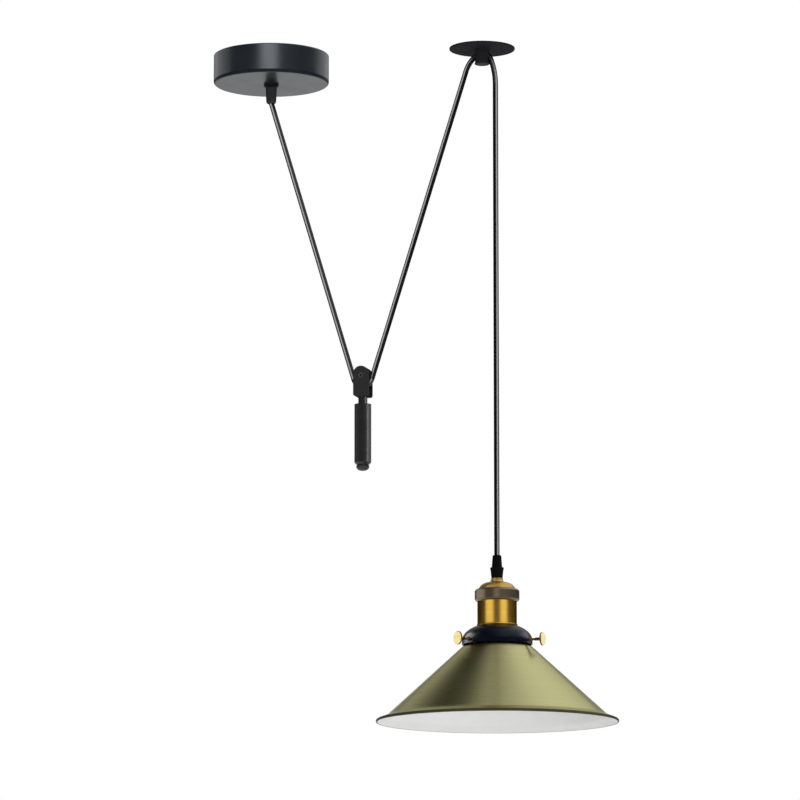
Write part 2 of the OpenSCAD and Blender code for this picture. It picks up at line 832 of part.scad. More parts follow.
module gallery_ring() {
  z = gallery_top - gallery_wall - 0.45;
  r = shell_r - 0.05;
  color([0.1, 0.1, 0.11])
    in_lamp()
      difference() {
        ring(r, sleeve_r + 0.02, z - 3.4, z);
        for (turn = [0:45:315])
          rotate([0, 0, turn]) translate([r - 0.8, -1, z - 4]) cube([2, 2, 3]);
      }
}

module gallery_bosses() {
  r = gallery_r;
  color([0.75, 0.6, 0.28])
    in_lamp()
      for (turn = thumb_turns)
        rotate([0, 0, turn])
          translate([0, 0, screw_z])
            rotate([0, 90, 0])
              difference() {
                union() {
                  translate([0, 0, r - 1.7]) cylinder(h = 2.5, r = boss_r);
                  translate([0, 0, r - 2.6]) cylinder(h = 0.95, r = boss_r + 0.7);
                }
                translate([0, 0, r - 4]) cylinder(h = 8, r = thumb_r + slack);
              }
}

module thumbscrew(turn) {
  color([0.85, 0.7, 0.35])
    in_lamp()
      rotate([0, 0, turn])
        translate([0, 0, screw_z])
          rotate([0, 90, 0]) {
            translate([0, 0, thumb_tip]) cylinder(h = head_r - thumb_tip, r = thumb_r);
            translate([0, 0, head_r - 1.4]) cylinder(h = 0.7, r1 = 1.9, r2 = 5.7);
            translate([0, 0, head_r - 0.7]) cylinder(h = 1.1, r = 6.1);
            translate([0, 0, head_r + 0.4]) cylinder(h = 0.4, r1 = 6.1, r2 = 5.5);
          }
}

module thumbscrew_1() {
  thumbscrew(thumb_turns[0]);
}

module thumbscrew_2() {
  thumbscrew(thumb_turns[1]);
}

module thumbscrew_3() {
  thumbscrew(thumb_turns[2]);
}

module shade() {
  w = shade_wall;
  n = neck_r;
  // sheet measured square to the cone
  step = w * 1.36;
  outer = [[n + 0.9, shade_top], [n + 0.9, shade_top - 1], [n, shade_top - 1.6],
    [n, shoulder_z + 2.4], [n + 0.7, shoulder_z + 1], [n + 2, shoulder_z + 0.3],
    [shoulder_r - 0.5, shoulder_z + 0.1], [shoulder_r + 0.4, shoulder_z - 0.4],
    [crease_r, crease_z], [rim_r - 0.7, rim_z], [rim_r, rim_z - 0.5],
    [rim_r - 0.1, rim_z - 1.2], [rim_r - 0.8, rim_z - 1.5]];
  inner = [[crease_r - 0.8, crease_z - 1.3],
    [shoulder_r - 0.4, shoulder_z - step + 0.2], [shoulder_r - 1.2, shoulder_z - w],
    [n + 1, shoulder_z - w], [n - 0.8, shoulder_z], [n - w, shoulder_z + 2],
    [n - w, shade_top]];
  color([0.6, 0.58, 0.4])
    in_lamp() rotate_extrude() polygon(concat(outer, inner));
}

rose_cover();
rose_strap();
rose_grip_body();
rose_grip_locknut();
rose_grip_sleeve();
rose_grip_nut();
rose_terminal_block();
rose_terminal_screws();
rose_earth_screw();
rose_core_live();
rose_core_neutral();
rose_core_earth();
flex_rose_end();
flex_rose_strand();
flex_under_wheel();
flex_guide_strand();
flex_over_guide();
flex_drop();
flex_lamp_end();
guide_plate();
guide_post();
guide_post_screws();
guide_pin();
guide_roller();
weight_fork();
weight_axle();
weight_wheel();
weight_stem();
weight_cylinder();
weight_end_bolt();
lamp_grip_nut();
lamp_grip_sleeve();
lamp_grip_body();
holder_nipple();
holder_nipple_nut();
holder_cap();
holder_collar();
holder_shell();
holder_insert();
holder_screw_shell();
holder_contact();
holder_terminals();
lamp_core_live();
lamp_core_neutral();
lamp_core_earth();
gallery();
gallery_ring();
gallery_bosses();
thumbscrew_1();
thumbscrew_2();
thumbscrew_3();
shade();
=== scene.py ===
import json
from math import asin, atan2, cos, hypot, pi, radians, sin

import bmesh
import bpy
from mathutils import Matrix, Vector


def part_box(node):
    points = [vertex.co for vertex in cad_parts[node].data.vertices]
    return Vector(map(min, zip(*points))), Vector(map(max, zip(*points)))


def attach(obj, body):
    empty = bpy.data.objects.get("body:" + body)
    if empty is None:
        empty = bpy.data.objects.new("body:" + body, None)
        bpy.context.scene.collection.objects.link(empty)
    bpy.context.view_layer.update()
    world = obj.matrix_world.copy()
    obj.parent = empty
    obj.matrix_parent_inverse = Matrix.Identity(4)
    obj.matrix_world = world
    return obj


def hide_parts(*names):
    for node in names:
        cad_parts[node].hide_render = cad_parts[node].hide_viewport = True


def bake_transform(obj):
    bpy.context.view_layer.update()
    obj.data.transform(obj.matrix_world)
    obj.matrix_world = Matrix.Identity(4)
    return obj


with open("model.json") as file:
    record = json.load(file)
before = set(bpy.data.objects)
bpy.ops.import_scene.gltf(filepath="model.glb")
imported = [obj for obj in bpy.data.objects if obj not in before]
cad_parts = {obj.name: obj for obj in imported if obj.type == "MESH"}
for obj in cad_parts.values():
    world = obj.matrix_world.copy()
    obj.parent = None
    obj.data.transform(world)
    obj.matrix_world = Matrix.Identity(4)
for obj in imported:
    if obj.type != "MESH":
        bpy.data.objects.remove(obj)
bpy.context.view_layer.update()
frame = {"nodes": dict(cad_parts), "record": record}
nodes = frame["nodes"]
print("frame loaded,", len(nodes), "nodes")


# camera, at the photo's view from a little below

view = {
    "place": (0.80563, -4.31528, -1.03857),
    "turn": 9.0,       # degrees to the right of straight on
    "tilt": 9.21,      # degrees up
    "lens": 215.7,
    "sensor": 36.0,
}


def makeCamera():
    data = bpy.data.cameras.new("photoCamera")
    data.lens = view["lens"]
    data.sensor_width = view["sensor"]
    data.clip_start, data.clip_end = 0.05, 60
    camera = bpy.data.objects.new("photoCamera", data)
    camera.location = view["place"]
    camera.rotation_euler = (radians(90 + view["tilt"]), 0, radians(view["turn"]))
    bpy.context.scene.collection.objects.link(camera)
    bpy.context.scene.camera = camera


makeCamera()
print("camera set")


# node helpers for the materials

def startMaterial(name, colour, roughness, metal=0.0, **extras):
    material = bpy.data.materials.new(name)
    material.use_nodes = True
    tree = material.node_tree
    shader = tree.nodes["Principled BSDF"]
    shader.inputs["Base Color"].default_value = (*colour, 1)
    shader.inputs["Roughness"].default_value = roughness
    shader.inputs["Metallic"].default_value = metal
    for socket, value in extras.items():
        shader.inputs[socket.replace("_", " ")].default_value = value
    return material, tree, shader


def objectPoint(tree, scale):
    coords = tree.nodes.new("ShaderNodeTexCoord")
    mapping = tree.nodes.new("ShaderNodeMapping")
    mapping.inputs["Scale"].default_value = scale
    tree.links.new(coords.outputs["Object"], mapping.inputs["Vector"])
    return mapping.outputs["Vector"]


def noiseAt(tree, point, scale, detail=3.0, rough=0.55):
    noise = tree.nodes.new("ShaderNodeTexNoise")
    noise.inputs["Scale"].default_value = scale
    noise.inputs["Detail"].default_value = detail
    noise.inputs["Roughness"].default_value = rough
    tree.links.new(point, noise.inputs["Vector"])
    return noise.outputs["Fac"]


def spread(tree, value, low, high, fromLow=0.3, fromHigh=0.7):
    node = tree.nodes.new("ShaderNodeMapRange")
    node.inputs["From Min"].default_value = fromLow
    node.inputs["From Max"].default_value = fromHigh
    node.inputs["To Min"].default_value = low
    node.inputs["To Max"].default_value = high
    tree.links.new(value, node.inputs["Value"])
    return node.outputs["Result"]


def mixColours(tree, factor, first, second):
    node = tree.nodes.new("ShaderNodeMix")
    node.data_type = "RGBA"
    tree.links.new(factor, node.inputs["Factor"])
    for socket, value in ((node.inputs[6], first), (node.inputs[7], second)):
        if isinstance(value, tuple):
            socket.default_value = (*value, 1)
        else:
            tree.links.new(value, socket)
    return node.outputs[2]


def bump(tree, shader, height, distance):
    node = tree.nodes.new("ShaderNodeBump")
    node.inputs["Distance"].default_value = distance
    node.inputs["Strength"].default_value = 1.0
    tree.links.new(height, node.inputs["Height"])
    tree.links.new(node.outputs["Normal"], shader.inputs["Normal"])


def makeMath(tree, operation, first, second):
    node = tree.nodes.new("ShaderNodeMath")
    node.operation = operation
    for socket, value in zip(node.inputs, (first, second)):
        if isinstance(value, (int, float)):
            socket.default_value = value
        else:
            tree.links.new(value, socket)
    return node.outputs[0]


def alongWay(tree, direction, way):
    node = tree.nodes.new("ShaderNodeVectorMath")
    node.operation = "DOT_PRODUCT"
    node.inputs[1].default_value = way
    tree.links.new(direction, node.inputs[0])
    return node.outputs["Value"]


def axisOf(tree, vector, axis):
    split = tree.nodes.new("ShaderNodeSeparateXYZ")
    tree.links.new(vector, split.inputs["Vector"])
    return split.outputs[axis]


def band(tree, value, low, high, edge):
    # 1 between low and high, with an edge on the outside or, where it is negative, the inside
    lowEdge, highEdge = sorted((low, low - edge)), sorted((high, high + edge))
    return makeMath(tree, "MULTIPLY", spread(tree, value, 0, 1, *lowEdge),
                    spread(tree, value, 1, 0, *highEdge))


def edgeWear(tree, low=0.52, high=0.6):
    geometry = tree.nodes.new("ShaderNodeNewGeometry")
    return spread(tree, geometry.outputs["Pointiness"], 0, 1, low, high)


# paints and plastics
paints = {
    # colour, second colour, roughness low and high, grain per metre and its depth, shine
    "roseEnamel": ((0.0102, 0.0138, 0.02), (0.0135, 0.017, 0.0235), 0.29, 0.34, 900, 0.000005,
                   0.4),
    "plateEnamel": ((0.0105, 0.0105, 0.013), (0.014, 0.013, 0.0155), 0.8, 0.9, 1100, 0.00002, 0.1),
    "blackEnamel": ((0.011, 0.011, 0.013), (0.015, 0.014, 0.016), 0.68, 0.8, 1100, 0.00002, 0.25),
    "forkEnamel": ((0.023, 0.023, 0.0235), (0.028, 0.028, 0.0285), 0.75, 0.85, 1100, 0.00002, 0.08),
    "axleBlack": ((0.04, 0.04, 0.04), (0.055, 0.055, 0.055), 0.5, 0.6, 900, 0.00001, 0.4),
    "roseGrip": ((0.021, 0.0205, 0.0195), (0.026, 0.0255, 0.024), 0.6, 0.75, 1200, 0.00002, 0.35),
    "lampGrip": ((0.002, 0.002, 0.002), (0.0035, 0.0035, 0.0035), 0.6, 0.75, 1200, 0.00002, 0.1),
    "gripNylon": ((0.005, 0.005, 0.0055), (0.008, 0.008, 0.009), 0.45, 0.58, 1500, 0.00001, 0.35),
    "glandRubber": ((0.010, 0.010, 0.010), (0.016, 0.016, 0.016), 0.7, 0.85, 1200, 0.00003, 0.4),
    "wheelPlastic": ((0.005, 0.005, 0.0055), (0.008, 0.008, 0.0085), 0.4, 0.5, 1300, 0.00001, 0.4),
    "terminalPlastic": ((0.72, 0.70, 0.62), (0.64, 0.62, 0.54), 0.45, 0.6, 700, 0.00002, 0.5),
    "galleryGloss": ((0.002, 0.0034, 0.0095), (0.0028, 0.0045, 0.012), 0.26, 0.33, 500, 0.000004,
                     0.18),
    "porcelain": ((0.82, 0.80, 0.74), (0.74, 0.72, 0.66), 0.12, 0.24, 260, 0.00003, 0.5),
    "insideEnamel": ((0.80, 0.80, 0.79), (0.76, 0.76, 0.755), 0.34, 0.42, 420, 0.00001, 0.4),
    "weightEnamel": ((0.0135, 0.0135, 0.014), (0.017, 0.017, 0.0175), 0.32, 0.4, 1500, 0.00001,
                     0.5),
    # painted shade for the shade's rolled rim
    "rimPaintedShade": ((0.04, 0.036, 0.02), (0.055, 0.048, 0.028), 0.4, 0.5, 600, 0.00001, 0.15),
    "coreBrown": ((0.11, 0.045, 0.018), (0.14, 0.06, 0.025), 0.34, 0.44, 900, 0.00001, 0.5),
    "coreBlue": ((0.015, 0.06, 0.3), (0.02, 0.08, 0.36), 0.34, 0.44, 900, 0.00001, 0.5),
    "coreGreen": ((0.05, 0.22, 0.02), (0.07, 0.27, 0.03), 0.34, 0.44, 900, 0.00001, 0.5),
    "flexSheath": ((0.002, 0.002, 0.002), (0.0035, 0.0035, 0.0035), 0.22, 0.28, 120, 0.000002, 0.5),
}


def paint(name, **extras):
    first, second, low, high, grain, depth, shine = paints[name]
    material, tree, shader = startMaterial(name, first, low, Specular_IOR_Level=shine, **extras)
    point = objectPoint(tree, (1, 1, 1))
    cloud = noiseAt(tree, point, 45, 4)
    fine = noiseAt(tree, point, grain, 2)
    tree.links.new(mixColours(tree, spread(tree, cloud, 0, 1), first, second),
                   shader.inputs["Base Color"])
    tree.links.new(spread(tree, cloud, low, high), shader.inputs["Roughness"])
    bump(tree, shader, fine, depth)
    return material


def rimWornPaint(name, bare, **extras):
    # paint that has rubbed a little lighter along its sharp edges
    material = paint(name, **extras)
    tree = material.node_tree
    shader = tree.nodes["Principled BSDF"]
    painted = shader.inputs["Base Color"].links[0].from_socket
    patchy = spread(tree, noiseAt(tree, objectPoint(tree, (1, 1, 1)), 160, 4), 0, 1, 0.45, 0.7)
    worn = makeMath(tree, "MULTIPLY", edgeWear(tree), patchy)
    tree.links.new(mixColours(tree, worn, painted, bare), shader.inputs["Base Color"])
    return material


# painted shade line along the rose's lower edge
roseEdgeShade = {
    "low": -0.0274,       # heights between which the rose shines less
    "high": -0.0244,
    "edge": 0.0004,
    "share": 0.05,        # of its shine that is left there
}


def paintedEdgeShade(material):
    # painted shade: less shine between two heights, so that the rose's lower edge reads as a dark
    # shaded line
    tree = material.node_tree
    shader = tree.nodes["Principled BSDF"]
    shine = shader.inputs["Specular IOR Level"].default_value
    height = axisOf(tree, objectPoint(tree, (1, 1, 1)), "Z")
    shadeLine = band(tree, height, roseEdgeShade["low"], roseEdgeShade["high"], -roseEdgeShade["edge"])
    tree.links.new(spread(tree, shadeLine, shine, shine * roseEdgeShade["share"], 0, 1),
                   shader.inputs["Specular IOR Level"])
    return material


# painted shade in the slot between the fork's cheeks
forkSlotShade = {
    "centre": 0.0874,                     # of the fork, along X
    "turn": 6.0,                          # degrees, as the counterweight
    "reach": (0.0036, 0.0068),            # of the dark part, to the front and the back
    "edge": 0.0006,
    "colour": (0.0025, 0.0025, 0.0027),
}


def paintedSlotShade(material):
    # painted shade: darker between the two cheeks, where hardly any light comes
    tree = material.node_tree
    shader = tree.nodes["Principled BSDF"]
    painted = shader.inputs["Base Color"].links[0].from_socket
    turn = radians(forkSlotShade["turn"])
    depth = alongWay(tree, objectPoint(tree, (1, 1, 1)), (sin(turn), cos(turn), 0))
    middle = forkSlotShade["centre"] * sin(turn)
    front, back = forkSlotShade["reach"]
    slot = band(tree, depth, middle - front, middle + back, forkSlotShade["edge"])
    tree.links.new(mixColours(tree, slot, painted, forkSlotShade["colour"]),
                   shader.inputs["Base Color"])
    return material


# painted highlight: where the bend over the guide keeps its shine
bendHighlightMask = {
    "inner": 0.02,        # shine on the inside of the bend
    "reach": 0.004,       # how far from the axis it changes sides
    "edge": 0.1,
}


def oneSideHighlight(material, axis):
    # painted highlight: shine is taken off the inside of each side of the bend, so that each side
    # shows only the highlight on its outside
    tree = material.node_tree
    shader = tree.nodes["Principled BSDF"]
    shine = shader.inputs["Specular IOR Level"].default_value
    normal = tree.nodes.new("ShaderNodeNewGeometry").outputs["Normal"]
    reach, edge = bendHighlightMask["reach"], bendHighlightMask["edge"]
    side = spread(tree, axisOf(tree, objectPoint(tree, (1, 1, 1)), "X"), -1, 1,
                  axis - reach, axis + reach)
    outward = makeMath(tree, "MULTIPLY", side, axisOf(tree, normal, "X"))
    tree.links.new(spread(tree, outward, bendHighlightMask["inner"], shine, -edge, edge),
                   shader.inputs["Specular IOR Level"])
    return material


def stripedCore():
    # green with a yellow stripe wound round it
    material = paint("coreGreen")
    tree = material.node_tree
    shader = tree.nodes["Principled BSDF"]
    green = shader.inputs["Base Color"].links[0].from_socket
    wave = tree.nodes.new("ShaderNodeTexWave")
    wave.inputs["Scale"].default_value = 90
    tree.links.new(objectPoint(tree, (1, 1, 0.4)), wave.inputs["Vector"])
    stripe = spread(tree, wave.outputs["Fac"], 0, 1, 0.55, 0.6)
    tree.links.new(mixColours(tree, stripe, green, (0.72, 0.55, 0.02)), shader.inputs["Base Color"])
    return material


# metals, brushed round the Z axis unless they have no anisotropy
metals = {
    # colour, darker tone, roughness low and high, lines per metre, anisotropy
    "shadeBrass": ((0.49, 0.475, 0.24), (0.46, 0.44, 0.222), 0.26, 0.31, 1100, 0.6),
    "brushedBrass": ((0.82, 0.51, 0.092), (0.70, 0.41, 0.066), 0.29, 0.35, 1100, 0.3),
    "agedBrass": ((0.62, 0.41, 0.10), (0.40, 0.26, 0.07), 0.27, 0.38, 700, 0.4),
    "bronze": ((0.255, 0.195, 0.13), (0.165, 0.12, 0.078), 0.3, 0.37, 1000, 0.5),
    "screwBrass": ((0.92, 0.80, 0.42), (0.80, 0.64, 0.26), 0.2, 0.3, 900, 0.0),
    "shankBrass": ((0.44, 0.26, 0.065), (0.24, 0.12, 0.025), 0.3, 0.42, 1400, 0.0),
    "contactBrass": ((0.80, 0.56, 0.20), (0.62, 0.40, 0.12), 0.26, 0.38, 1100, 0.0),
    "zincSteel": ((0.62, 0.63, 0.64), (0.50, 0.51, 0.52), 0.3, 0.42, 700, 0.0),
    "screwSteel": ((0.060, 0.060, 0.062), (0.04, 0.04, 0.041), 0.3, 0.4, 900, 0.0),
}


def brushed(name, metal=1.0, **extras):
    first, second, low, high, lineScale, anisotropy = metals[name]
    material, tree, shader = startMaterial(name, first, low, metal, **extras)
    if anisotropy:
        shader.inputs["Anisotropic"].default_value = anisotropy
        shader.inputs["Anisotropic Rotation"].default_value = 0.25
        tangent = tree.nodes.new("ShaderNodeTangent")
        tangent.direction_type = "RADIAL"
        tangent.axis = "Z"
        tree.links.new(tangent.outputs["Tangent"], shader.inputs["Tangent"])
    lines = noiseAt(tree, objectPoint(tree, (2.5, 2.5, lineScale)), 1.0, 4, 0.6)
    cloud = noiseAt(tree, objectPoint(tree, (1, 1, 1)), 28, 4)
    toned = mixColours(tree, spread(tree, lines, 0, 0.8, 0.3, 0.7), first, second)
    aged = mixColours(tree, spread(tree, cloud, 0, 0.3, 0.45, 0.75), toned, second)
    tree.links.new(aged, shader.inputs["Base Color"])
    tree.links.new(spread(tree, lines, low, high), shader.inputs["Roughness"])
    bump(tree, shader, lines, 0.000002)
    return material


materials = {
    "rose_enamel": paintedEdgeShade(rimWornPaint("roseEnamel", (0.04, 0.045, 0.05),
                                           Specular_Tint=(0.93, 0.97, 1.0, 1))),
    "zinc_steel": brushed("zincSteel"),
    "grip_nylon": paint("gripNylon"),
    "gland_rubber": paint("glandRubber"),
    "terminal_plastic": paint("terminalPlastic"),
    "contact_brass": brushed("contactBrass"),
    "core_brown": paint("coreBrown"),
    "core_blue": paint("coreBlue"),
    "core_green": stripedCore(),
    "flex_sheath": paint("flexSheath"),
    "black_enamel": rimWornPaint("blackEnamel", (0.03, 0.03, 0.035)),
    "wheel_plastic": paint("wheelPlastic"),
    "weight_steel": paint("weightEnamel"),
    "screw_steel": brushed("screwSteel", 0.6),
    "brushed_brass": brushed("brushedBrass", Specular_Tint=(0.4, 0.13, 0.02, 1)),
    "aged_brass": brushed("agedBrass"),
    "bronze": brushed("bronze", 0.85),
    "porcelain": paint("porcelain", Coat_Weight=0.4),
    "gallery_gloss": paint("galleryGloss", Specular_Tint=(0.93, 0.94, 1.0, 1)),
    "shade_brass": brushed("shadeBrass", Specular_Tint=(0.92, 0.9, 0.75, 1)),
    "screw_brass": brushed("screwBrass"),
    "shank_brass": brushed("shankBrass"),
    "inside_enamel": paint("insideEnamel"),
    "rim_painted_shade": paint("rimPaintedShade"),
}
ownFinish = {  # nodes that look different from the rest of their slot
    "guide_plate": paint("plateEnamel"),
    "weight_fork": paintedSlotShade(paint("forkEnamel")),
    "weight_axle": paint("axleBlack"),
    "rose_grip_nut": paint("roseGrip"),
    "lamp_grip_body": paint("lampGrip"),
    "lamp_grip_nut": paint("lampGrip"),
}
print("materials made:", len(materials) + len(ownFinish))


# finish of the CAD nodes

softEdges = {  # nodes whose edges are eased, with the width in metres
    "weight_fork": 0.0005, "weight_cylinder": 0.0002, "weight_stem": 0.0002,
    "guide_post": 0.0004, "guide_plate": 0.0002, "weight_end_bolt": 0.0002,
    "lamp_grip_nut": 0.0003, "rose_grip_nut": 0.0003,
}
edgeAngle = 35.0


def cleanShading():
    # drops the stored normals, which no longer fit once the mesh is welded
    group = bpy.data.node_groups.new("cleanShading", "GeometryNodeTree")
    for way in ("INPUT", "OUTPUT"):
        group.interface.new_socket("Geometry", in_out=way, socket_type="NodeSocketGeometry")
    start = group.nodes.new("NodeGroupInput")
    end = group.nodes.new("NodeGroupOutput")
    angle = group.nodes.new("GeometryNodeInputMeshEdgeAngle")
    sharp = group.nodes.new("FunctionNodeCompare")
    sharp.operation = "GREATER_THAN"
    sharp.inputs["B"].default_value = radians(edgeAngle)
    normals = group.nodes.new("GeometryNodeSetMeshNormal")
    normals.inputs["Remove Custom"].default_value = True
    group.links.new(start.outputs[0], normals.inputs["Mesh"])
    group.links.new(angle.outputs["Unsigned Angle"], sharp.inputs["A"])
    group.links.new(sharp.outputs[0], normals.inputs["Edge Sharpness"])
    group.links.new(normals.outputs[0], end.inputs[0])
    return group


def dressNodes():
    slots = {row["node"]: row["material_slot"] for row in frame["record"]["subparts"]}
    shading = cleanShading()
    for name, node in nodes.items():
        node.data.materials.clear()
        node.data.materials.append(ownFinish.get(name, materials[slots[name]]))
        if name in softEdges:
            weld = node.modifiers.new("weld", "WELD")
            weld.merge_threshold = 0.00001
            node.modifiers.new("shading", "NODES").node_group = shading
            ease = node.modifiers.new("ease", "BEVEL")
            ease.width = softEdges[name]
            ease.segments = 2
            ease.limit_method = "ANGLE"
            ease.angle_limit = radians(edgeAngle)
            ease.harden_normals = True


dressNodes()
print("CAD nodes dressed")


# mesh helpers for the new pieces

def pieceFrom(name, mesh, body, material, slotName, *replaced):
    mesh.update()
    piece = bpy.data.objects.new(name, mesh)
    bpy.context.scene.collection.objects.link(piece)
    for m in material if isinstance(material, list) else [material]:
        mesh.materials.append(m)
    for face in mesh.polygons:
        face.use_smooth = len(face.vertices) < 5     # end faces stay flat
    if body:
        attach(piece, body)
    if replaced:
        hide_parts(*replaced)
    return piece


def arcPoints(cx, cy, radius, fromDeg, toDeg, steps):
    return [(cx + radius * cos(radians(fromDeg + (toDeg - fromDeg) * i / steps)),
             cy + radius * sin(radians(fromDeg + (toDeg - fromDeg) * i / steps)))
            for i in range(steps + 1)]


def latheMesh(name, outline, centre, segments):
    # a closed outline of (radius, z) turned about the vertical through centre
    mesh = bpy.data.meshes.new(name)
    cx, cy = centre
    count = len(outline)
    points = [(cx + r * cos(2 * pi * k / segments), cy + r * sin(2 * pi * k / segments), z)
              for k in range(segments) for r, z in outline]
    faces = []
    for k in range(segments):
        here, there = k * count, (k + 1) % segments * count
        for i in range(count):
            j = (i + 1) % count
            faces.append((here + i, here + j, there + j, there + i))
    mesh.from_pydata(points, [], faces)
    return mesh


def tubeMesh(name, route, radius, sides):
    # a round tube along points in the XZ plane or near it, closed at both ends
    mesh = bpy.data.meshes.new(name)
    route = [Vector(p) for p in route]
    route.insert(1, route[0].lerp(route[1], 0.02))     # keep the shading true up to the ends
    route.insert(-1, route[-1].lerp(route[-2], 0.02))
    last = len(route) - 1
    points, faces = [], []
    for i, centre in enumerate(route):
        ahead = (route[min(i + 1, last)] - route[max(i - 1, 0)]).normalized()
        across = ahead.cross(Vector((0, 1, 0))).normalized()
        over = ahead.cross(across)
        for k in range(sides):
            a = 2 * pi * k / sides
            points.append(centre + radius * (cos(a) * across + sin(a) * over))
    for i in range(last):
        for k in range(sides):
            m = (k + 1) % sides
            faces.append((i * sides + k, i * sides + m, (i + 1) * sides + m, (i + 1) * sides + k))
    faces.append(tuple(reversed(range(sides))))
    faces.append(tuple(last * sides + k for k in range(sides)))
    mesh.from_pydata(points, [], faces)
    return mesh


# flex: three straight runs, to the weight's wheel and down to the lamp, and the bend over the guide

flex = {
    "diameter": 0.005,
    "sides": 28,
    "ringStep": 0.005,                # between the rings of a straight run
    "roseEnd": (0.0, -0.0435),        # where the bend under the rose starts
    "roseBend": 0.010,
    "weightAxis": 0.0874,
    "wheelZ": -0.3071,
    "wheelPitch": 0.009,
    "weightTurn": 6.0,
    "guideAxis": 0.1996,
    "guideTop": -0.005,
    "guideBend": 0.0087,
    "leftEase": (40, 73, 0.0305),      # degrees where it eases and ends, and its radius
    "rightEase": (70.3, 90, 0.072),
    "lampTop": -0.4779,
}


def guideRoute():
    # over the roller from the lamp's side to the weight's side
    top, tight = flex["guideTop"], flex["guideBend"]
    centre = (0, top - tight)
    leftFrom, leftTo, leftRadius = flex["leftEase"]
    rightFrom, rightTo, rightRadius = flex["rightEase"]

    def easeCentre(side, fromDeg, radius):
        a = radians(fromDeg)
        mid = (side * tight * sin(a), centre[1] + tight * cos(a))
        return (mid[0] - side * radius * sin(a), mid[1] - radius * cos(a))

    leftCentre = easeCentre(-1, leftFrom, leftRadius)
    rightCentre = easeCentre(1, rightFrom, rightRadius)
    flat = arcPoints(*rightCentre, rightRadius, 90 - rightTo, 90 - rightFrom, 12)
    flat += arcPoints(*centre, tight, 90 - rightFrom, 90 + leftFrom, 40)[1:]
    flat += arcPoints(*leftCentre, leftRadius, 90 + leftFrom, 90 + leftTo, 14)[1:]
    return [(flex["guideAxis"] + x, 0, z) for x, z in flat]


def leanTo(dx, dz):
    return atan2(dx, dz) - asin(flex["wheelPitch"] / hypot(dx, dz))


def onWheel(across, z):
    turn = radians(flex["weightTurn"])
    return (flex["weightAxis"] + across * cos(turn), -across * sin(turn), z)


def addStrand(name, start, end, node):
    way = Vector(end) - Vector(start)
    steps = round(way.length / flex["ringStep"])
    mesh = tubeMesh(name, [Vector(start) + way * i / steps for i in range(steps + 1)],
                    flex["diameter"] / 2, flex["sides"])
    piece = pieceFrom(name, mesh, None, materials["flex_sheath"], "flex_sheath", node)
    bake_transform(piece)


def addFlex():
    pitch, wheelZ = flex["wheelPitch"], flex["wheelZ"]
    overGuide = guideRoute()
    guideRight, guideLeft = overGuide[0], overGuide[-1]
    roseX, roseZ = flex["roseEnd"]
    leanLeft = leanTo(flex["weightAxis"], roseZ - 0.003 - wheelZ)
    leanRight = leanTo(guideLeft[0] - flex["weightAxis"], guideLeft[2] - wheelZ)
    bendR = flex["roseBend"]
    roseStart = (roseX + bendR * (1 - cos(leanLeft)), 0, roseZ - bendR * sin(leanLeft))
    wheelLeft = onWheel(-pitch * cos(leanLeft), wheelZ - pitch * sin(leanLeft))
    wheelRight = onWheel(pitch * cos(leanRight), wheelZ - pitch * sin(leanRight))
    addStrand("roseStrand", roseStart, wheelLeft, "flex_rose_strand")
    addStrand("guideStrand", guideLeft, wheelRight, "flex_guide_strand")
    addStrand("lampDrop", guideRight, (guideRight[0], 0, flex["lampTop"]),
              "flex_drop")
    mesh = tubeMesh("flexOverGuide", overGuide, flex["diameter"] / 2, flex["sides"])
    bend = oneSideHighlight(paint("flexSheath"), flex["guideAxis"])
    piece = pieceFrom("flexOverGuide", mesh, "ceiling", bend, "flex_sheath", "flex_over_guide")


addFlex()
print("flex laid")


# shade: brushed outside, white inside, with a creased and flared lip, and painted shade on the
# rolled rim

shade = {
    "wall": 0.0011,
    "segments": 256,
    "lipWidth": 0.0097,
    "neckR": 0.0285,
    "slope": 1.094,           # run of the cone for each metre it drops
    "slopeSteps": 24,
    # painted shade: these last faces of the lip take a dark colour for the shade on its rolled edge
    "paintedShadeRim": 7,             # faces of the outside, counted from the rim, that are dark
}


def slopePoints(start, end):
    steps = shade["slopeSteps"]
    return [(start[0] + (end[0] - start[0]) * (i / steps),
             start[1] + (end[1] - start[1]) * (i / steps)) for i in range(1, steps + 1)]


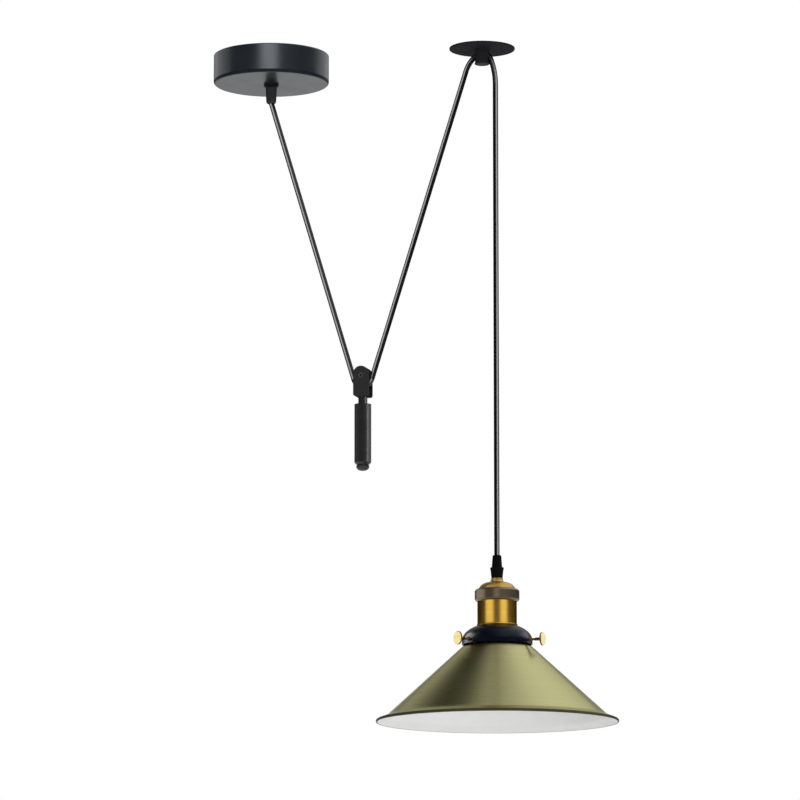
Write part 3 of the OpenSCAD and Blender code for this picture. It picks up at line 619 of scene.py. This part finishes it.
def shadeOutline():
    low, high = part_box("shade")
    galleryLow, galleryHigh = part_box("gallery")
    axis = (low.x + high.x) / 2
    rim = (high.x - low.x) / 2
    creaseR = rim - shade["lipWidth"]
    wall = shade["wall"]
    neck = shade["neckR"]
    shoulder = (galleryHigh.x - galleryLow.x) / 2 - 0.0006
    shoulderZ = galleryLow.z - 0.0017
    creaseZ = shoulderZ - (creaseR - shoulder) / shade["slope"]
    rimZ = creaseZ - 0.0043
    top = high.z
    outer = [(neck + 0.0009, top), (neck + 0.0009, top - 0.001), (neck, top - 0.0016),
             (neck, shoulderZ + 0.0024), (neck + 0.0003, shoulderZ + 0.0015),
             (neck + 0.0007, shoulderZ + 0.001), (neck + 0.002, shoulderZ + 0.0003),
             (shoulder - 0.0005, shoulderZ + 0.0001), (shoulder, shoulderZ - 0.0001),
             (shoulder + 0.0004, shoulderZ - 0.0004)]
    outer += slopePoints(outer[-1], (creaseR - 0.0005, creaseZ + 0.00046))
    outer += [(creaseR, creaseZ + 0.0001), (creaseR + 0.0004, creaseZ - 0.0001),
              (rim - 0.0014, rimZ + 0.0013), (rim - 0.0008, rimZ + 0.0010),
              (rim - 0.0003, rimZ + 0.0006), (rim, rimZ), (rim, rimZ - 0.0006),
              (rim - 0.0001, rimZ - 0.0011), (rim - 0.0004, rimZ - 0.0014),
              (rim - 0.0008, rimZ - 0.0015)]
    step = wall * 1.36        # the sheet, measured upright on the cone
    inner = [(rim - 0.0014, rimZ - 0.0013), (creaseR - 0.0004, creaseZ - 0.00125),
             (creaseR - 0.0012, creaseZ - 0.00095)]
    inner += slopePoints(inner[-1], (shoulder - 0.0004, shoulderZ - step + 0.0002))
    inner += [(shoulder - 0.0012, shoulderZ - wall), (neck + 0.001, shoulderZ - wall),
              (neck - 0.0008, shoulderZ), (neck - wall, shoulderZ + 0.002), (neck - wall, top)]
    return outer, inner, (axis, 0)


def addShade():
    outer, inner, centre = shadeOutline()
    mesh = latheMesh("shadeCone", outer + inner, centre, shade["segments"])
    count, outside = len(outer) + len(inner), len(outer) - 1
    for i, face in enumerate(mesh.polygons):
        along = i % count
        if along < outside - shade["paintedShadeRim"]:
            face.material_index = 0
        else:
            face.material_index = 2 if along <= outside else 1
    pieceFrom("shadeCone", mesh, "lamp",
              [materials["shade_brass"], materials["inside_enamel"], materials["rim_painted_shade"]],
              "shade_brass", "shade")


addShade()
print("shade turned")


# thumbscrews: a domed head with a knurled rim on a threaded shank

thumbscrew = {
    "turns": (225, 345, 105),
    "shankR": 0.0012,
    "thread": (0.0288, 0.0438),        # where it starts and ends, from the lamp's axis
    "threadSides": 20,
    "ringsPerTurn": 8,
    "shoulderR": 0.00145,
    "shoulder": (0.0375, 0.0438),      # the plain part over the thread
    "shoulderSides": 24,
    "threadDepth": 0.00012,
    "pitch": 0.0005,
    "headAt": 0.045,
    "headR": 0.0061,
    "polishedFrom": 0.04545,           # the head's face, beyond this, is polished
    "knurls": 40,
    "knurlDepth": 0.00018,
}


def addRing(bm, x, radii):
    turns = [2 * pi * k / len(radii) for k in range(len(radii))]
    return [bm.verts.new((x, r * cos(a), r * sin(a))) for r, a in zip(radii, turns)]


def skinRings(bm, rows):
    # joins each ring to the next and closes both ends
    for one, two in zip(rows, rows[1:]):
        for k in range(len(one)):
            m = (k + 1) % len(one)
            bm.faces.new((one[k], two[k], two[m], one[m]))
    bm.faces.new(rows[0])
    bm.faces.new(list(reversed(rows[-1])))


def threadedShank(bm):
    start, end = thumbscrew["thread"]
    around, pitch = thumbscrew["threadSides"], thumbscrew["pitch"]
    rings = int((end - start) / pitch * thumbscrew["ringsPerTurn"])
    rows = []
    for i in range(rings + 1):
        x = start + (end - start) * i / rings
        phases = [((x - start) / pitch - k / around) % 1 for k in range(around)]
        rows.append(addRing(bm, x, [thumbscrew["shankR"]
                                    - thumbscrew["threadDepth"] * abs(2 * phase - 1)
                                    for phase in phases]))
    skinRings(bm, rows)


def knurledHead(bm):
    r = thumbscrew["headR"]
    profile = [(-0.0014, 0.0012), (-0.0014, 0.0022), (-0.0012, 0.0046), (-0.0011, r - 0.0004),
               (-0.0010, r), (0.0003, r), (0.0006, r - 0.0004), (0.0006, r - 0.0009),
               (0.0005, r - 0.0013), (0.0006, r * 0.6), (0.0008, r * 0.3), (0.0008, r * 0.1)]
    perKnurl = 4
    rows = []
    for dx, radius in profile:
        depth = thumbscrew["knurlDepth"] if radius == r else 0
        rows.append(addRing(bm, thumbscrew["headAt"] + dx,
                            [radius - depth * (k % perKnurl == 0)
                             for k in range(thumbscrew["knurls"] * perKnurl)]))
    skinRings(bm, rows)


def plainShoulder(bm):
    start, end = thumbscrew["shoulder"]
    r, ease = thumbscrew["shoulderR"], 0.0003
    skinRings(bm, [addRing(bm, x, [radius] * thumbscrew["shoulderSides"])
                   for x, radius in ((start, r - ease), (start + ease, r), (end, r))])


def addThumbscrews():
    galleryLow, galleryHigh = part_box("gallery")
    axis = (galleryLow.x + galleryHigh.x) / 2
    for number, turn in enumerate(thumbscrew["turns"], 1):
        node = f"thumbscrew_{number}"
        low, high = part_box(node)
        height = (low.z + high.z) / 2
        bm = bmesh.new()
        knurledHead(bm)
        threadedShank(bm)
        plainShoulder(bm)
        for face in bm.faces:
            polished = face.calc_center_median().x > thumbscrew["polishedFrom"]
            face.material_index = 0 if polished else 1
        bmesh.ops.recalc_face_normals(bm, faces=bm.faces)
        bmesh.ops.rotate(bm, cent=(0, 0, 0), verts=bm.verts,
                         matrix=Matrix.Rotation(radians(turn), 3, "Z"))
        bmesh.ops.translate(bm, vec=(axis, 0, height), verts=bm.verts)
        mesh = bpy.data.meshes.new(node + "_turned")
        bm.to_mesh(mesh)
        bm.free()
        piece = pieceFrom(node + "_turned", mesh, node,
                          [materials["screw_brass"], materials["shank_brass"]],
                          "brushed_brass", node)
        piece.modifiers.new("facets", "EDGE_SPLIT").split_angle = radians(50)


addThumbscrews()
print("thumbscrews cut")


# floor and world
studio = {
    "floorZ": -2.4,
    "floorColour": (0.86, 0.86, 0.85),
    "floorGlow": 0.7,         # how far the floor is whitened where it is seen
    "fill": 0.5,              # soft light from all round
    "dim": 0.02,              # what gloss sees in the front half of the room
    "turn": 9.0,              # the room is square to the photo's view
}


def seenRays(tree, *kinds):
    # 1 for the kinds of ray named, 0 for the others
    path = tree.nodes.new("ShaderNodeLightPath")
    total = path.outputs[kinds[0]]
    for kind in kinds[1:]:
        total = makeMath(tree, "MAXIMUM", total, path.outputs[kind])
    return total


def smoothStep(tree, value, fromLow, fromHigh, low, high):
    node = tree.nodes.new("ShaderNodeMapRange")
    node.interpolation_type = "SMOOTHSTEP"
    for socket, number in (("From Min", fromLow), ("From Max", fromHigh),
                           ("To Min", low), ("To Max", high)):
        node.inputs[socket].default_value = number
    tree.links.new(value, node.inputs["Value"])
    return node.outputs["Result"]


def addFloor():
    mesh = bpy.data.meshes.new("floor")
    half = 9
    mesh.from_pydata([(-half, -half, 0), (half, -half, 0), (half, half, 0), (-half, half, 0)],
                     [], [(0, 1, 2, 3)])
    floor = bpy.data.objects.new("floor", mesh)
    floor.location.z = studio["floorZ"]
    bpy.context.scene.collection.objects.link(floor)
    material, tree, shader = startMaterial("paleFloor", studio["floorColour"], 0.9)
    light = tree.nodes.new("ShaderNodeEmission")
    light.inputs["Strength"].default_value = 1.0
    share = makeMath(tree, "MULTIPLY",
                     seenRays(tree, "Is Camera Ray", "Is Glossy Ray", "Is Transmission Ray"),
                     studio["floorGlow"])
    mix = tree.nodes.new("ShaderNodeMixShader")
    tree.links.new(share, mix.inputs[0])
    tree.links.new(shader.outputs[0], mix.inputs[1])
    tree.links.new(light.outputs[0], mix.inputs[2])
    tree.links.new(mix.outputs[0], tree.nodes["Material Output"].inputs["Surface"])
    mesh.materials.append(material)


def glossRoom(tree):
    # brightness of the room as gloss sees it: white behind the object, dark in front,
    # and overhead a soft box that starts left of the middle and brightens to the right
    turn = radians(studio["turn"])
    direction = tree.nodes.new("ShaderNodeTexCoord").outputs["Generated"]
    right = alongWay(tree, direction, (cos(turn), sin(turn), 0))
    away = alongWay(tree, direction, (-sin(turn), cos(turn), 0))
    up = alongWay(tree, direction, (0, 0, 1))
    softBox = makeMath(tree, "ADD", smoothStep(tree, right, -0.32, -0.03, 0.02, 0.54),
                       smoothStep(tree, right, 0.0, 0.42, 0.0, 0.58))
    overhead = makeMath(tree, "MULTIPLY", softBox, smoothStep(tree, away, 0.5, 0.75, 1.0, 0.74))
    backWall = smoothStep(tree, away, 0.42, 0.78, 0.02, 0.48)
    level = smoothStep(tree, away, 0.88, 1.03, studio["dim"], 1.0)
    rise = smoothStep(tree, up, 0.28, 0.5, 0.0, 1.0)
    blend = tree.nodes.new("ShaderNodeMix")
    tree.links.new(rise, blend.inputs["Factor"])
    tree.links.new(level, blend.inputs[2])
    tree.links.new(makeMath(tree, "MAXIMUM", overhead, backWall), blend.inputs[3])
    return blend.outputs[0]


def addWorld():
    world = bpy.data.worlds.new("studio")
    bpy.context.scene.world = world
    world.use_nodes = True
    tree = world.node_tree
    tree.nodes.clear()

    def background(strength):
        node = tree.nodes.new("ShaderNodeBackground")
        node.inputs["Color"].default_value = (1, 1, 1, 1)
        node.inputs["Strength"].default_value = strength
        return node

    gloss = background(1.0)
    tree.links.new(glossRoom(tree), gloss.inputs["Strength"])
    inner = tree.nodes.new("ShaderNodeMixShader")
    tree.links.new(seenRays(tree, "Is Glossy Ray"), inner.inputs[0])
    tree.links.new(background(studio["fill"]).outputs[0], inner.inputs[1])
    tree.links.new(gloss.outputs[0], inner.inputs[2])
    outer = tree.nodes.new("ShaderNodeMixShader")
    tree.links.new(seenRays(tree, "Is Camera Ray", "Is Transmission Ray"), outer.inputs[0])
    tree.links.new(inner.outputs[0], outer.inputs[1])
    tree.links.new(background(1.0).outputs[0], outer.inputs[2])
    output = tree.nodes.new("ShaderNodeOutputWorld")
    tree.links.new(outer.outputs[0], output.inputs["Surface"])


# soft boxes that give the plain light, without a reflection of their own
softBoxes = {
    # place, aim, size, watts
    "leftBox": ((-1.35, -2.0, -0.25), (0.21, 0, -0.5), (0.7, 1.5), 14),
    "rightBox": ((2.1, -1.5, -0.3), (0.21, 0, -0.5), (0.6, 1.5), 12),
    "belowBox": ((1.6, -1.1, -1.9), (0.2, 0, -0.6), (1.2, 1.2), 18.5),
    "topBox": ((0.6, 0.9, 0.9), (0.22, 0, -0.6), (0.9, 0.9), 12),
}
# reflector cards that only the gloss of the pieces named sees
cards = {
    # pieces, degrees right of the camera's side, degrees up, distance, size, brightness
    "holderLeft": (("holder_shell", "holder_cap"), -46, 8, 0.5, (0.44, 0.5), 1.05),
    "holderRight": (("holder_shell", "holder_cap"), 38, 8, 0.5, (0.37, 0.5), 0.98),
    "capLeft": (("holder_cap",), -60, 50, 0.5, (0.5, 0.4), 0.8),
    "collarLeft": (("holder_collar",), -100, 8, 0.5, (0.6, 0.5), 1.0),
    "collarFront": (("holder_collar",), -4, 8, 0.5, (0.24, 0.4), 0.6),
    "roseFront": (("rose_cover",), -3, 20, 0.8, (0.44, 0.46), 6.3),
    "roseLeft": (("rose_cover",), -120, 10, 1.0, (1.2, 0.6), 1.0),
    "roseRight": (("rose_cover",), 128, 10, 1.0, (1.0, 0.6), 1.05),
    "weightStrip": (("weight_cylinder", "weight_stem"), 74, 9, 0.8, (0.3, 0.5), 6.0),
    "weightSide": (("weight_cylinder", "weight_stem"), 118, 9, 0.8, (0.7, 0.5), 0.7),
    "weightLeft": (("weight_cylinder",), -94, 9, 0.8, (0.9, 0.5), 0.35),
    "strandLeft": (("roseStrand", "guideStrand", "flexOverGuide", "flex_rose_end"),
                   -46, 10, 0.9, (1.0, 0.9), 8.5),
    "wheelFlex": (("flex_under_wheel",), -12, 10, 0.9, (0.9, 0.9), 8.0),
    "dropRight": (("lampDrop", "flexOverGuide"), 44, 10, 0.9, (1.05, 0.9), 8.0),
    "galleryLeft": (("gallery",), -112, 20, 0.5, (0.35, 0.3), 7.5),
    "galleryRight": (("gallery",), 112, 20, 0.5, (0.35, 0.3), 2.0),
    "screwLeft": (("thumbscrew_1_turned",), -104, 8, 0.6, (0.8, 0.5), 1.0),
    "screwRight": (("thumbscrew_2_turned",), 134, 8, 0.6, (0.8, 0.5), 1.0),
}
# only the flex itself can shade these, so no other piece stands in their light
openCards = ("strandLeft", "wheelFlex", "dropRight")


def aimedBox(name, place, aim, size, watts):
    data = bpy.data.lights.new(name, "AREA")
    data.shape = "RECTANGLE"
    data.size, data.size_y = size
    data.energy = watts
    lamp = bpy.data.objects.new(name, data)
    lamp.location = place
    lamp.rotation_euler = (Vector(aim) - Vector(place)).to_track_quat("-Z", "Y").to_euler()
    lamp.visible_camera = False
    bpy.context.scene.collection.objects.link(lamp)
    return lamp


def middleOf(pieces):
    corners = [Vector(c) for piece in pieces for c in piece.bound_box]
    return Vector([(min(c[i] for c in corners) + max(c[i] for c in corners)) / 2
                   for i in range(3)])


def addLamps():
    for name, (place, aim, size, watts) in softBoxes.items():
        aimedBox(name, place, aim, size, watts).visible_glossy = False
    for name, (pieces, right, up, distance, size, brightness) in cards.items():
        receivers = [bpy.data.objects[p] for p in pieces]
        middle = middleOf(receivers)
        azimuth = radians(studio["turn"] - 90 + right)
        way = Vector((cos(azimuth) * cos(radians(up)), sin(azimuth) * cos(radians(up)),
                      sin(radians(up))))
        card = aimedBox(name, middle + distance * way, middle, size,
                        brightness * pi * size[0] * size[1])
        card.visible_diffuse = False
        group = bpy.data.collections.new(name)
        for piece in receivers:
            group.objects.link(piece)
        card.light_linking.receiver_collection = group
        if name in openCards:
            card.light_linking.blocker_collection = group


addFloor()
addWorld()
addLamps()
bpy.context.scene.view_settings.view_transform = "Standard"
print("studio lit")
